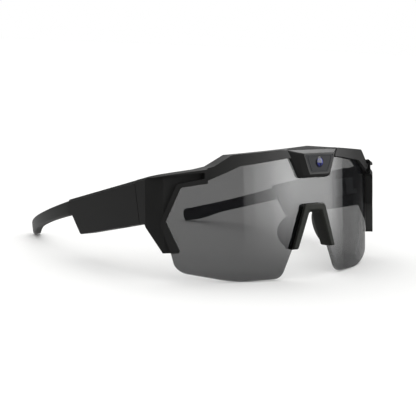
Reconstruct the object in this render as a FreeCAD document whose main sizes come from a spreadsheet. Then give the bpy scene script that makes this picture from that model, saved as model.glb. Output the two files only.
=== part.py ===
"""Wraparound camera glasses: one shield lens in a brow frame, and two folding temples with the electronics.

Row frame: +X is the wearer's left, the glasses look along -Y, +Z is up. They rest on the lens's lower edge
and on the two ear tips. The front is drawn in its own frame, which leans back, and each temple in one that
slopes down to the rear. Both are drawn on the +X side, and the -X side is the mirror image.
"""
import FreeCAD
import Part
import math
import os
import re

import Sketcher
from FreeCAD import Placement, Rotation, Vector

os.makedirs("parts", exist_ok=True)
doc = FreeCAD.newDocument("CameraGlasses")

# ------------------------------------------------ driving dimensions, millimetres and degrees
SIZES = {
    # where the two working frames stand
    "front_y": -81.89, "front_lean": 5.06, "hinge_y": -39.09, "hinge_z": 34.61, "temple_pitch": 14.5,
    # overall
    "half_width": 76, "split_gap": 0.3, "fit_gap": 0.1,
    # shield lens: a cylinder of this outer radius
    "lens_radius": 101, "lens_thickness": 2.2, "lens_gap": 0.15, "lens_inset": 5.6, "lens_top": 59.6,
    "lens_side_top": 48.6, "lens_corner_inset": 10.2, "lens_corner_height": 6.4, "lens_low_inset": 33.1,
    "lens_low_height": 0.82, "lens_inner_half": 19.6, "lens_corner_round": 7, "lens_low_round": 60,
    "lens_inner_round": 6, "nose_notch_half": 3.6, "nose_notch_top": 33.6,
    "camera_notch_half_top": 15.2, "camera_notch_half_low": 8.3, "camera_notch_low": 50.2,
    # brow frame and its end arms
    "brow_proud": 2, "brow_back": 3.8, "brow_top": 63.7, "brow_kink_inset": 31.5, "brow_kink_top": 60.5,
    "brow_end_inset": 23.7, "brow_end_top": 55.3, "brow_low_mid": 58.2, "brow_low_kink_inset": 35,
    "brow_low_kink": 55.2, "brow_low_end": 48.3, "brow_facet_drop": 1.5, "brow_facet_run": 3.4,
    "arm_inset": 1.9, "arm_back": 6.4, "arm_low": 31, "arm_top": 48, "arm_front": 18,
    "arm_end": 46,
    # side cover: its front outline is drawn on a plane turned by this angle towards the side
    "cover_turn": 43.3, "cover_proud": 4, "cover_wrap": 20, "cover_bend": 12, "cover_wall": 4.5,
    "cover_front_low": 48.1, "cover_front_top": 55.4, "cover_corner_inset": 14.5, "cover_corner_w": 46,
    "cover_vertex_inset": 7.2, "cover_vertex_w": 30.3, "cover_leg_inset": 13.9, "cover_leg_w": 15.7,
    "cover_front_v": 12.1, "cover_foot_v": 16.9, "cover_heel_v": 34.6, "cover_heel_w": 29.3,
    "cover_heel_drop": 1.6, "cover_crease_v": 32.4, "cover_crease_w": 51.1, "cover_split_w": 48.3,
    "cover_rim": 2.6, "cover_ease": 1.2, "cover_recess_depth": 3.3, "cover_recess_middle": 4.6,
    "cover_recess_run": 7.8, "cover_recess_end_v": 33.5, "cover_recess_low": 2, "cover_recess_corner": 11.6,
    # camera
    "camera_axis_w": 56, "camera_front_v": -4.9, "camera_ridge_v": -3.1, "camera_root_v": -0.6,
    "camera_back_v": 2.2, "camera_face_half_top": 10.7, "camera_face_half_low": 6.6,
    "camera_face_top": 60.4, "camera_face_low": 50.3, "camera_ridge_half_top": 13,
    "camera_ridge_half_low": 9, "camera_ridge_top": 60.9, "camera_ridge_low": 49.2,
    "camera_root_half_top": 16.9, "camera_root_half_low": 9.6, "camera_root_top": 61.9,
    "camera_root_low": 48.4, "camera_plate": 0.6, "camera_plate_inset": 0.9, "dome_radius": 2.4,
    "dome_rise": 0.7, "barrel_radius": 3.2, "barrel_length": 4.6, "barrel_mouth": 1.2, "element_radius": 1.2,
    "element_length": 1.2, "sensor_side": 7.4, "sensor_board": 0.8,
    # nose piece
    "nose_proud": 1.6, "nose_back": 4.6, "nose_half_top": 7, "nose_top": 36.1, "nose_half_low": 14.7,
    "nose_low": 14.6, "nose_band": 4.1, "pad_setback": 0.5, "pad_thickness": 3.4, "pad_reach": 9.5,
    # temple housing, in the temple frame
    "housing_depth": 7.6, "housing_wall": 1.4, "housing_low": 9.6, "housing_top_front": 11.15,
    "housing_top_rear": 8.8, "housing_rear_s": 49.3, "notch_s": 54.9, "notch_t": 0.95, "tail_s": 57.9,
    "housing_chamfer": 1.6, "inner_cover": 1, "board_thickness": 0.8, "chip_height": 1.2,
    "battery_length": 24, "battery_height": 13.5, "battery_thickness": 4.2, "battery_start": 24,
    "speaker_length": 11, "speaker_height": 7, "speaker_depth": 2.4, "speaker_start": 10.5, "speaker_low": 7,
    "grille_frame": 1.2, "slot_pitch": 1.3, "slot_width": 0.6,
    # ear tip, in the temple frame: its outer face bends inwards on an upright cylinder
    "ear_bend_radius": 115.6, "ear_bend_s": 60, "ear_inset": 0.5, "ear_thickness": 4.6, "ear_top_front": 8.1,
    "ear_end_s": 125.2, "ear_end_top": 3.3, "ear_end_low": -4.5, "ear_low_front": 0.8, "ear_heel_s": 100,
    "ear_heel_t": -1.3, "core_thickness": 1, "core_height": 3, "core_start": 51.5, "core_end": 112,
    "core_mid_s": 80, "core_start_t": 4.7, "core_mid_t": 3.4, "core_end_t": 1.4, "core_gap": 0.05,
    # hinge
    "hinge_inset": 2.4, "knuckle_radius": 1.6, "pin_radius": 0.6, "pin_clearance": 0.05, "pin_end": 0.05,
    "hinge_low": 3.5, "hinge_top": 5.5, "knuckle_low": 0.5, "knuckle_top": 2.5, "knuckle_gap": 0.12,
    "leaf_length": 8.5, "leaf_plate": 0.9, "hinge_relief": 1.95,
    # record button
    "button_s": 17, "button_length": 8, "button_width": 2.6, "button_proud": 0.25, "button_travel": 0.4,
    "button_gap": 0.12, "button_flange": 0.4, "button_lip": 0.15, "switch_length": 2.8, "switch_width": 2,
    # screws and contacts
    "screw_radius": 0.5, "screw_head": 0.95, "screw_sunk": 0.6, "contact_radius": 1.1, "contact_pitch": 4,
    "contact_up": 3.4,
}
# places that follow from those sizes
PLACES = {
    "lens_half": "half_width - lens_inset",
    "lens_corner_half": "half_width - lens_corner_inset",
    "lens_low_half": "half_width - lens_low_inset",
    "lens_low_bend": "min(lens_low_round; 3 * (half_width - lens_low_inset - lens_inner_half))",
    "brow_kink_half": "half_width - brow_kink_inset",
    "brow_end_half": "half_width - brow_end_inset",
    "brow_low_kink_half": "half_width - brow_low_kink_inset",
    "arm_inner": "half_width - housing_depth - arm_inset",
    "arm_outer": "half_width - cover_wall - 2 * fit_gap",
    "cover_start": "half_width - cover_wrap",
    "cover_corner": "half_width - cover_corner_inset",
    "cover_vertex": "half_width - cover_vertex_inset",
    "cover_leg": "half_width - cover_leg_inset",
    "barrel_start": "camera_front_v + camera_plate",
    "sensor_v": "camera_front_v + camera_plate + barrel_length",
    "dome_ball_radius": "(dome_radius^2 + dome_rise^2) / (2 * dome_rise)",
    "nose_slope": "(nose_half_low - nose_half_top) / (nose_top - nose_low)",
    "nose_inner_top": "nose_top - nose_band",
    "hinge_u": "half_width - housing_depth - hinge_inset",
    "leaf_inner": "half_width - housing_depth - arm_inset - leaf_plate - fit_gap / 2",
    "leaf_outer": "half_width - housing_depth - arm_inset - fit_gap / 2",
    "lower_top": "-knuckle_low - knuckle_gap",
    "upper_low": "knuckle_top + knuckle_gap",
    "lid_inner_u": "half_width - housing_depth - inner_cover",
    "lid_outer_u": "half_width - housing_depth",
    "floor_t": "-housing_low + housing_wall",
    "board_u": "half_width - housing_wall - fit_gap - board_thickness",
    "button_u": "half_width - housing_depth / 2 + 0.2",
}
sheet = doc.addObject("Spreadsheet::Sheet", "Sizes")
for row, (alias, number) in enumerate(SIZES.items(), start=1):
    sheet.set(f"A{row}", alias)
    sheet.set(f"B{row}", str(number))
    sheet.setAlias(f"B{row}", alias)
doc.recompute()

ALIAS = re.compile(r"\b(" + "|".join(SIZES) + r")\b")
PLACE = re.compile(r"\b(" + "|".join(PLACES) + r")\b")


def bound(formula):
    """A formula in plain names of sizes and places, as an expression that reads the sheet."""
    spelt_out = PLACE.sub(lambda found: f"({PLACES[found[0]]})", str(formula))
    return ALIAS.sub(r"Sizes.\1", spelt_out)


def size(formula):
    """The number that a formula comes to."""
    return float(sheet.evalExpression(bound(formula)))


# ------------------------------------------------ the two working frames and their drawing planes
FRONT = Placement(Vector(0, size("front_y"), 0), Rotation(Vector(1, 0, 0), -size("front_lean")))
TEMPLE = Placement(
    Vector(0, size("hinge_y"), size("hinge_z")), Rotation(Vector(1, 0, 0), -size("temple_pitch"))
)
PLANES = {
    "plan": Rotation(),  # sketch x = X, sketch y = depth, drawn upwards
    "side": Rotation(Vector(0, 1, 0), Vector(0, 0, 1), Vector(1, 0, 0), "ZXY"),  # x = depth, y = height
    "face": Rotation(Vector(1, 0, 0), 90),  # x = X, y = height, drawn forwards
    # the face plane turned towards the side
    "quarter": Rotation(Vector(0, 0, 1), size("cover_turn")) * Rotation(Vector(1, 0, 0), 90),
}


def outline(name, frame, plane, corners, lift="0"):
    """A closed sketch through corners (x, y) or (x, y, round), on a plane of one frame, lifted off it."""
    sketch = doc.addObject("Sketcher::SketchObject", name)
    turn = PLANES[plane]
    sketch.Placement = frame * Placement(turn.multVec(Vector(0, 0, size(lift))), turn)
    points = [Vector(size(c[0]), size(c[1]), 0) for c in corners]
    count = len(points)
    for i, start in enumerate(points):
        sketch.addGeometry(Part.LineSegment(start, points[(i + 1) % count]))
    for i in range(count):
        sketch.addConstraint(Sketcher.Constraint("Coincident", i, 2, (i + 1) % count, 1))
    for i, corner in enumerate(corners):
        for kind, formula in zip(("DistanceX", "DistanceY"), corner):
            tie = sketch.addConstraint(Sketcher.Constraint(kind, -1, 1, i, 1, size(formula)))
            sketch.setExpression(f"Constraints[{tie}]", bound(formula))
    sketch.solve()
    for i, corner in enumerate(corners):
        if len(corner) > 2:
            sketch.fillet(i, 1, size(corner[2]), True, True)
            arcs = [k for k, g in enumerate(sketch.Geometry) if g.TypeId == "Part::GeomArcOfCircle"]
            tie = sketch.addConstraint(Sketcher.Constraint("Radius", arcs[-1], size(corner[2])))
            sketch.setExpression(f"Constraints[{tie}]", bound(corner[2]))
    doc.recompute()
    return sketch


def mirrored(half):
    """The corners of an outline that is the same on both sides of x = 0, from those of its +x half."""
    other = [(f"-({c[0]})",) + tuple(c[1:]) for c in reversed(half)]
    return list(half) + other


def prism(name, sketch, length):
    """A sketch drawn out along its normal."""
    solid = doc.addObject("Part::Extrusion", name)
    solid.Base = sketch
    solid.DirMode = "Normal"
    solid.Solid = True
    solid.setExpression("LengthFwd", bound(length))
    doc.recompute()
    return solid


def slab(name, frame, plane, corners, start, length):
    """An outline drawn out from one offset of its plane for a length."""
    return prism(name, outline(name + "_outline", frame, plane, corners, start), length)


def block(name, frame, low, high):
    """A box between two corners given as three formulas each, in one frame."""
    solid = doc.addObject("Part::Box", name)
    for side, a, b in zip(("Length", "Width", "Height"), low, high):
        solid.setExpression(side, bound(f"({b}) - ({a})"))
    solid.Placement = frame * Placement(Vector(*[size(a) for a in low]), Rotation())
    return solid


def rod(name, frame, along, base, radius, length, top_radius=None):
    """A round bar, or a cone when the top has its own radius, along an axis of one frame."""
    turn = {"X": Rotation(Vector(0, 1, 0), 90), "Y": Rotation(Vector(1, 0, 0), -90), "Z": Rotation()}[along]
    solid = doc.addObject("Part::Cone" if top_radius else "Part::Cylinder", name)
    solid.setExpression("Radius1" if top_radius else "Radius", bound(radius))
    if top_radius:
        solid.setExpression("Radius2", bound(top_radius))
    solid.setExpression("Height", bound(length))
    solid.Placement = frame * Placement(Vector(*[size(b) for b in base]), turn)
    return solid


def cut(name, base, *tools):
    """The base with every tool taken away, one after another."""
    for i, tool in enumerate(tools):
        solid = doc.addObject("Part::Cut", name if i == len(tools) - 1 else f"{name}_stage{i}")
        solid.Base = base
        solid.Tool = tool
        base = solid
    return base


def joined(name, *pieces):
    """The pieces made one."""
    solid = doc.addObject("Part::MultiFuse", name)
    solid.Shapes = list(pieces)
    return solid


def shared(name, *pieces):
    """What the pieces have in common."""
    solid = doc.addObject("Part::MultiCommon", name)
    solid.Shapes = list(pieces)
    return solid


def eased(name, base, kind, chosen, radius):
    """The base with the edges that the test chooses rounded (Fillet) or bevelled (Chamfer)."""
    doc.recompute()
    solid = doc.addObject(f"Part::{kind}", name)
    solid.Base = base
    amount = size(radius)
    solid.Edges = [(i, amount, amount) for i, e in enumerate(base.Shape.Edges, start=1) if chosen(e)]
    return solid


def mirror(name, source):
    """The source seen across X = 0."""
    solid = doc.addObject("Part::Mirroring", name)
    solid.Source = source
    solid.Normal = Vector(1, 0, 0)
    return solid


NODES = {}


def node(name, solid):
    """Names a finished piece, which becomes one file."""
    solid.Label = name
    NODES[name] = solid
    return solid


def pair(name, solid):
    """A piece of the left side and its mirror image on the right."""
    node(name + "_left", solid)
    node(name + "_right", mirror(name + "_mirror", solid))


# ------------------------------------------------ shield lens
def lens_corners(grow):
    """The lens's outline, from the camera notch down one side to the nose notch and back up the other."""
    half = [
        (f"camera_notch_half_low - {grow}", f"camera_notch_low + {grow}"),
        (f"camera_notch_half_top - {grow}", f"lens_top + {grow}"),
        ("brow_kink_half - 2", f"brow_low_kink + 2.6 + {grow}"),
        ("brow_end_half", f"brow_low_end + 3 + {grow}"),
        (f"lens_half - 2 + {grow}", f"lens_side_top + {grow}"),
        (f"lens_half + {grow}", "cover_vertex_w"),
        (f"lens_corner_half + {grow}", f"lens_corner_height - {grow}", "lens_corner_round"),
        ("lens_low_half", f"lens_low_height - {grow}", "lens_low_bend"),
        (f"lens_inner_half - {grow}", f"lens_low_height - {grow}", "lens_inner_round"),
        (f"nose_notch_half - {grow}", f"nose_notch_top - {grow}"),
    ]
    return mirrored(half)


def drum(name, offset):
    """The upright cylinder that is concentric with the lens, its surface offset outwards from the lens's."""
    return rod(name, FRONT, "Z", ("0", "lens_radius", "-20"), f"lens_radius + {offset}", "100")


def band(name, outer, inner):
    """The wall between two drums."""
    return cut(name, drum(name + "_outer", outer), drum(name + "_inner", inner))


lens = shared(
    "lens",
    band("lens_wall", "0", "-lens_thickness"),
    slab("lens_block", FRONT, "face", lens_corners("0"), "-50", "60"),
)
node("shield_lens", lens)

# the room the lens takes in everything that grips it
lens_room = shared(
    "lens_room",
    band("lens_room_wall", "lens_gap", "-lens_thickness - lens_gap"),
    slab("lens_room_block", FRONT, "face", lens_corners("lens_gap"), "-50", "60"),
)

# ------------------------------------------------ what separates the temples from the front
split = block("split", TEMPLE, ("-90", "-split_gap / 2", "-40"), ("90", "60", "40"))
hinge_room = rod("hinge_room", TEMPLE, "Z", ("hinge_u", "0", "-hinge_low - pin_radius"), "hinge_relief",
                 "hinge_low + hinge_top + 2 * pin_radius")
leaf_seat = block("leaf_seat", TEMPLE, ("hinge_u - 6", "-leaf_length - fit_gap", "-hinge_low - fit_gap"),
                  ("arm_inner", "0", "hinge_top + fit_gap"))

# ------------------------------------------------ brow frame with its two end arms
brow_half_outline = [
    ("0", "brow_top"),
    ("brow_kink_half", "brow_kink_top"),
    ("brow_end_half", "brow_end_top"),
    ("arm_inner + 2", "brow_low_end + 2.6"),
    ("arm_inner + 2", "brow_low_end - 1"),
    ("cover_start", "brow_low_end"),
    ("brow_low_kink_half", "brow_low_kink"),
    ("camera_root_half_top", "brow_low_mid"),
    ("0", "brow_low_mid + 0.6"),
]
brow_outline = brow_half_outline + [(f"-({c[0]})", c[1]) for c in reversed(brow_half_outline[1:-1])]
brow_blank = shared(
    "brow_blank",
    band("brow_wall", "brow_proud", "-brow_back"),
    prism("brow_block", outline("brow_face", FRONT, "face", brow_outline, "-50"), "60"),
    rod("brow_facet", FRONT, "Z", ("0", "lens_radius", "brow_low_end - 5"),
        "lens_radius + brow_proud + (brow_top - brow_low_end + 5 - brow_facet_drop)"
        " * brow_facet_run / brow_facet_drop",
        "brow_top - brow_low_end + 5", "lens_radius + brow_proud - brow_facet_run"),
)
arm_side = [
    ("arm_front", "arm_top + 2"),
    ("arm_front + 9", "arm_top - 1"),
    ("arm_front + 16", "arm_low + 1"),
    ("arm_end", "arm_low"),
    ("arm_end", "arm_top"),
    ("arm_front + 3", "arm_top + 3.4"),
]
arm_blank = shared(
    "arm_blank",
    slab("arm_block", FRONT, "side", arm_side, "cover_start + 4", "arm_outer - cover_start - 4"),
    drum("arm_drum", "-lens_thickness - lens_gap"),
)
arm_hollow = shared(
    "arm_hollow",
    drum("arm_hollow_drum", "-arm_back"),
    block("arm_hollow_block", FRONT, ("0", "0", "-10"), ("arm_inner", "60", "90")),
)
arm = cut("arm", arm_blank, arm_hollow, split, hinge_room, leaf_seat)
cover_room = cut(
    "cover_room",
    block("cover_room_block", FRONT, ("cover_start - fit_gap", "0", "0"), ("90", "60", "90")),
    drum("cover_room_drum", "-lens_thickness - lens_gap"),
)
camera_room = slab(
    "camera_room", FRONT, "face",
    mirrored([("camera_root_half_low + fit_gap", "camera_root_low - fit_gap"),
              ("camera_root_half_top + fit_gap", "camera_root_top"),
              ("camera_root_half_top + fit_gap", "brow_top + 1")]),
    "-camera_back_v - fit_gap", "20",
)
front_frame = cut(
    "front_frame",
    joined("frame_blank", brow_blank, arm, mirror("arm_right", arm)),
    lens_room, cover_room, mirror("cover_room_right", cover_room), camera_room,
)
node("front_frame", front_frame)

# ------------------------------------------------ side covers
cover_block = shared(
    "cover_block",
    drum("cover_drum", "cover_proud"),
    block("cover_box", FRONT, ("cover_start", "0", "5"), ("half_width", "50", "70")),
)


def is_bend(edge):
    """The upright edge where the cover's round front would meet its flat side."""
    ends = [FRONT.inverse().multVec(v.Point) for v in edge.Vertexes]
    flat = all(abs(p.x - size("half_width")) < 1e-3 for p in ends)
    return flat and len(ends) == 2 and abs(ends[0].y - ends[1].y) < 1e-3 and ends[0].y < 40


cover_round = eased("cover_round", cover_block, "Fillet", is_bend, "cover_bend")
cover_side_outline = [
    ("0", "0"),
    ("cover_foot_v", "0"),
    ("cover_heel_v", "cover_heel_w", "1"),
    ("arm_end", "cover_heel_w - cover_heel_drop"),
    ("arm_end", "cover_split_w"),
    ("cover_crease_v", "cover_crease_w"),
    ("cover_front_v", "cover_front_top"),
    ("0", "cover_front_top + 2.5"),
]
cover_front_outline = [
    ("30", "cover_front_low + 2"),
    ("cover_corner", "cover_corner_w", "1"),
    ("cover_vertex", "cover_vertex_w", "0.8"),
    ("cover_leg", "cover_leg_w", "0.8"),
    ("110", "cover_leg_w"),
    ("110", "70"),
    ("30", "70"),
]
cover_hollow = shared(
    "cover_hollow",
    drum("cover_hollow_drum", "lens_gap"),
    block("cover_hollow_box", FRONT, ("0", "0", "0"), ("half_width - cover_wall", "60", "90")),
)
recess_front_outline = [
    ("cover_corner - cover_recess_corner + 0.6", "cover_corner_w + 3.9"),
    ("cover_corner + 1.9", "cover_corner_w + 1.4", "0.8"),
    ("cover_vertex + cover_rim", "cover_vertex_w - 0.6", "0.8"),
    ("cover_leg + cover_rim + 1.2", "cover_leg_w - cover_recess_low"),
    ("110", "cover_leg_w - cover_recess_low"),
    ("110", "cover_split_w - 0.6"),
    ("cover_corner - cover_recess_corner", "cover_front_top - cover_rim"),
]
recess_plan = [
    ("cover_start - 2", "0"),
    ("90", "0"),
    ("90", "cover_recess_end_v"),
    ("half_width", "cover_recess_end_v"),
    ("half_width - cover_recess_middle", "cover_recess_end_v - cover_recess_run"),
    ("cover_start - 2", "cover_front_v + cover_recess_depth"),
]
recess = shared(
    "recess",
    slab("recess_front_block", FRONT, "quarter", recess_front_outline, "0", "60"),
    slab("recess_plan_block", FRONT, "plan", recess_plan, "0", "80"),
)
cover_shape = shared(
    "cover_shape",
    cover_round,
    slab("cover_side_block", FRONT, "side", cover_side_outline, "40", "50"),
    slab("cover_front_block", FRONT, "quarter", cover_front_outline, "0", "60"),
)


def is_top_rim(edge):
    """An edge of the cover's top, where it meets the outer face."""
    slope = size("(cover_crease_w - cover_front_top) / (cover_crease_v - cover_front_v)")
    level = size("cover_front_top") - slope * size("cover_front_v")
    points = [FRONT.inverse().multVec(v.Point) for v in edge.Vertexes]
    on_top = all(abs(p.z - level - slope * p.y) < 0.01 for p in points)
    middle = FRONT.inverse().multVec(edge.valueAt((edge.FirstParameter + edge.LastParameter) / 2))
    outer = edge.Length > 4 and middle.x > size("cover_start + 1") and len(points) == 2
    return on_top and outer and abs(points[0].y - points[1].y) > 2


cover_blank = eased("cover_blank", cover_shape, "Chamfer", is_top_rim, "cover_ease")
side_cover = cut("side_cover", cover_blank, cover_hollow, recess, split)
pair("side_cover", side_cover)

# ------------------------------------------------ camera
def camera_section(name, half_top, half_low, top, low, v):
    """The housing's outline at one depth in front of the lens."""
    corners = mirrored([(half_low, low, "0.6"), (half_top, top, "0.6")])
    return outline(name, FRONT, "face", corners, f"-({v})")


camera_loft = doc.addObject("Part::Loft", "camera_loft")
camera_loft.Sections = [
    camera_section("camera_root", "camera_root_half_top", "camera_root_half_low", "camera_root_top",
                   "camera_root_low", "camera_root_v"),
    camera_section("camera_ridge", "camera_ridge_half_top", "camera_ridge_half_low", "camera_ridge_top",
                   "camera_ridge_low", "camera_ridge_v"),
    camera_section("camera_face", "camera_face_half_top", "camera_face_half_low", "camera_face_top",
                   "camera_face_low", "camera_front_v"),
]
camera_loft.Solid = True
camera_loft.Ruled = True
camera_seat = slab(
    "camera_seat", FRONT, "face",
    mirrored([("camera_root_half_low", "camera_root_low", "0.6"),
              ("camera_root_half_top", "camera_root_top", "0.6")]),
    "-camera_back_v", "camera_back_v - camera_root_v",
)
camera_neck = slab(
    "camera_neck", FRONT, "face",
    mirrored([("camera_notch_half_low - lens_gap", "camera_notch_low + lens_gap"),
              ("camera_notch_half_top - lens_gap - 0.6", "lens_top - lens_gap")]),
    "-camera_back_v", "camera_back_v + 1.2",
)
module_half = "sensor_side / 2 + fit_gap"
module_room = block(
    "module_room", FRONT,
    (f"-({module_half})", "camera_front_v + camera_plate + 0.8", f"camera_axis_w - ({module_half})"),
    (module_half, "camera_back_v + 1", f"camera_axis_w + {module_half}"),
)
barrel_room = rod("barrel_room", FRONT, "Y", ("0", "camera_front_v - 1", "camera_axis_w"),
                  "barrel_radius + fit_gap", "4")
plate_corners = mirrored([
    ("camera_face_half_low - camera_plate_inset", "camera_face_low + camera_plate_inset", "0.5"),
    ("camera_face_half_top - camera_plate_inset", "camera_face_top - camera_plate_inset", "0.5"),
])
plate_room = slab("plate_room", FRONT, "face", plate_corners, "-camera_front_v - camera_plate", "3")
camera_housing = cut(
    "camera_housing", joined("camera_solid", camera_loft, camera_seat, camera_neck),
    lens_room, module_room, barrel_room, plate_room,
)
node("camera_housing", camera_housing)

plate_blank = slab("plate_blank", FRONT, "face", plate_corners, "-camera_front_v - camera_plate",
                   "camera_plate")
dome_room = rod("dome_room", FRONT, "Y", ("0", "camera_front_v - 1", "camera_axis_w"),
                "dome_radius + fit_gap / 2", "4")
node("camera_face_plate", cut("camera_face_plate", plate_blank, dome_room))

dome_ball = doc.addObject("Part::Sphere", "dome_ball")
dome_ball.setExpression("Radius", bound("dome_ball_radius"))
dome_ball.Placement = FRONT * Placement(
    Vector(0, size("camera_front_v - dome_rise + dome_ball_radius"), size("camera_axis_w")), Rotation()
)
dome_rod = rod("dome_rod", FRONT, "Y", ("0", "camera_front_v - dome_rise", "camera_axis_w"), "dome_radius",
               "dome_rise + camera_plate")
node("camera_cover_glass", shared("camera_cover_glass", dome_ball, dome_rod))

barrel_blank = rod("barrel_blank", FRONT, "Y", ("0", "barrel_start", "camera_axis_w"), "barrel_radius",
                   "barrel_length")
barrel_cone = rod("barrel_cone", FRONT, "Y", ("0", "barrel_start", "camera_axis_w"),
                  "dome_radius - 2 * fit_gap", "barrel_mouth", "element_radius")
element_room = rod("element_room", FRONT, "Y", ("0", "barrel_start + barrel_mouth", "camera_axis_w"),
                   "element_radius", "element_length + 2 * fit_gap")
node("camera_barrel", cut("camera_barrel", barrel_blank, barrel_cone, element_room))
node("camera_lens_element", rod("camera_lens_element", FRONT, "Y",
                                ("0", "barrel_start + barrel_mouth + fit_gap", "camera_axis_w"),
                                "element_radius - fit_gap / 2", "element_length"))
node("image_sensor_board", block(
    "image_sensor_board", FRONT, ("-sensor_side / 2", "sensor_v", "camera_axis_w - sensor_side / 2"),
    ("sensor_side / 2", "sensor_v + sensor_board", "camera_axis_w + sensor_side / 2"),
))

# ------------------------------------------------ nose bridge and pads
nose_half = [
    ("nose_half_low", "nose_low", "0.6"),
    ("nose_half_top", "nose_top", "1.4"),
]
nose_inner_half = [
    ("nose_half_low - nose_band", "nose_low", "0.6"),
    ("nose_half_top + nose_band * nose_slope - nose_band", "nose_inner_top", "0.8"),
]
nose_corners = nose_half + [(f"-({c[0]})",) + c[1:] for c in reversed(nose_half)]
nose_corners += [(f"-({c[0]})",) + c[1:] for c in nose_inner_half] + list(reversed(nose_inner_half))
nose_blank = shared(
    "nose_blank",
    band("nose_wall", "nose_proud", "-nose_back"),
    slab("nose_block", FRONT, "face", nose_corners, "-30", "60"),
)
node("nose_bridge", cut("nose_bridge", nose_blank, lens_room))

pad_low = "nose_half_low - nose_band + pad_setback"
pad_high = "nose_half_top - nose_band + nose_band * nose_slope + pad_setback"
pad_face = [
    (pad_low, "nose_low"),
    (f"{pad_low} + pad_thickness", "nose_low"),
    (f"{pad_high} + pad_thickness", "nose_inner_top"),
    (pad_high, "nose_inner_top"),
]
pad_side = [
    ("0", "nose_low"),
    ("nose_back + 1", "nose_low", "1"),
    ("nose_back + pad_reach * 0.75", "nose_low + 4.5", "3"),
    ("nose_back + pad_reach", "nose_low + 10", "4"),
    ("nose_back + pad_reach * 0.8", "nose_inner_top", "3"),
    ("0", "nose_inner_top"),
]
nose_pad = shared(
    "nose_pad",
    slab("pad_block", FRONT, "face", pad_face, "-20", "20"),
    slab("pad_side_block", FRONT, "side", pad_side, "0", "30"),
    drum("pad_drum", "-nose_back - fit_gap"),
)
pair("nose_pad", nose_pad)

# ------------------------------------------------ hinges
def knuckle(name, low, high):
    """A round knuckle on the hinge axis between two heights."""
    return rod(name, TEMPLE, "Z", ("hinge_u", "0", low), "knuckle_radius", f"({high}) - ({low})")


pin_hole = rod("pin_hole", TEMPLE, "Z", ("hinge_u", "0", "-hinge_low - 3"), "pin_radius + pin_clearance",
               "hinge_low + hinge_top + 6")
front_leaf = joined(
    "front_leaf",
    knuckle("front_knuckle_low", "-hinge_low", "lower_top"),
    knuckle("front_knuckle_top", "upper_low", "hinge_top"),
    block("front_leaf_plate", TEMPLE, ("leaf_inner", "-leaf_length", "-hinge_low"),
          ("leaf_outer", "-hinge_relief", "hinge_top")),
    block("front_tongue_low", TEMPLE, ("leaf_inner", "-hinge_relief - 1", "-hinge_low"),
          ("leaf_outer", "0", "lower_top")),
    block("front_tongue_top", TEMPLE, ("leaf_inner", "-hinge_relief - 1", "upper_low"),
          ("leaf_outer", "0", "hinge_top")),
)
pair("hinge_leaf_front", cut("hinge_leaf_front", front_leaf, pin_hole))
temple_leaf = joined(
    "temple_leaf",
    knuckle("temple_knuckle", "-knuckle_low", "knuckle_top"),
    block("temple_tongue", TEMPLE, ("hinge_u", "0", "-knuckle_low"),
          ("lid_outer_u", "hinge_relief + 1", "knuckle_top")),
    block("temple_leaf_plate", TEMPLE, ("lid_inner_u", "hinge_relief", "-hinge_low"),
          ("lid_outer_u", "leaf_length", "hinge_top")),
)
pair("hinge_leaf_temple", cut("hinge_leaf_temple", temple_leaf, pin_hole))
pair("hinge_pin", rod("hinge_pin", TEMPLE, "Z", ("hinge_u", "0", "-hinge_low - pin_end"), "pin_radius",
                      "hinge_low + hinge_top + 2 * pin_end"))

# ------------------------------------------------ temple housing
housing_outline = [
    ("split_gap / 2", "-housing_low"),
    ("housing_rear_s", "-housing_low", "1.8"),
    ("notch_s", "notch_t", "1.2"),
    ("tail_s", "notch_t - 0.2", "0.6"),
    ("tail_s - 0.4", "housing_top_rear"),
    ("split_gap / 2", "housing_top_front"),
]
housing_blank = slab("housing_blank", TEMPLE, "side", housing_outline, "lid_outer_u", "housing_depth")


def is_top_outer(edge):
    """The long edge between the housing's outer face and its top."""
    ends = [TEMPLE.inverse().multVec(v.Point) for v in edge.Vertexes]
    long = edge.Length > size("housing_rear_s")
    return long and all(abs(p.x - size("half_width")) < 1e-3 and p.z > 0 for p in ends)


housing_solid = eased("housing_solid", housing_blank, "Chamfer", is_top_outer, "housing_chamfer")
cavity_outline = [
    ("split_gap / 2 + housing_wall", "floor_t"),
    ("housing_rear_s - housing_wall / 2", "floor_t", "1"),
    ("notch_s - housing_wall", "notch_t + housing_wall / 2", "1"),
    ("notch_s - housing_wall", "housing_top_rear - housing_wall - 1"),
    ("split_gap / 2 + housing_wall", "housing_top_front - housing_wall - 1"),
]
cavity = slab("cavity", TEMPLE, "side", cavity_outline, "lid_outer_u - 1", "housing_depth - housing_wall + 1")
core_room = block("core_room", TEMPLE, ("half_width - 5", "core_start - 1", "core_start_t - 2.1"),
                  ("half_width - 2", "tail_s + 2", "core_start_t + 1.7"))


def button_block(name, grow, low, high):
    """The record button's rounded bar, grown by a gap, between two heights of the temple frame."""
    across = f"(button_width / 2 + {grow})"
    along = f"(button_length / 2 + {grow})"
    corners = [(f"button_u + {u} * {across}", f"button_s + {s} * {along}", "button_width / 2 - 0.2")
               for u, s in ((-1, -1), (1, -1), (1, 1), (-1, 1))]
    return slab(name, TEMPLE, "plan", corners, low, f"({high}) - ({low})")


left_shell = cut("left_shell", housing_solid, cavity, core_room)
node("temple_shell_left", left_shell)
button_room = button_block("button_room", "button_gap", "-housing_low - 1", "floor_t + 1")
right_shell_source = cut("right_shell_source", left_shell, button_room)
node("temple_shell_right", mirror("right_shell", right_shell_source))

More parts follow.
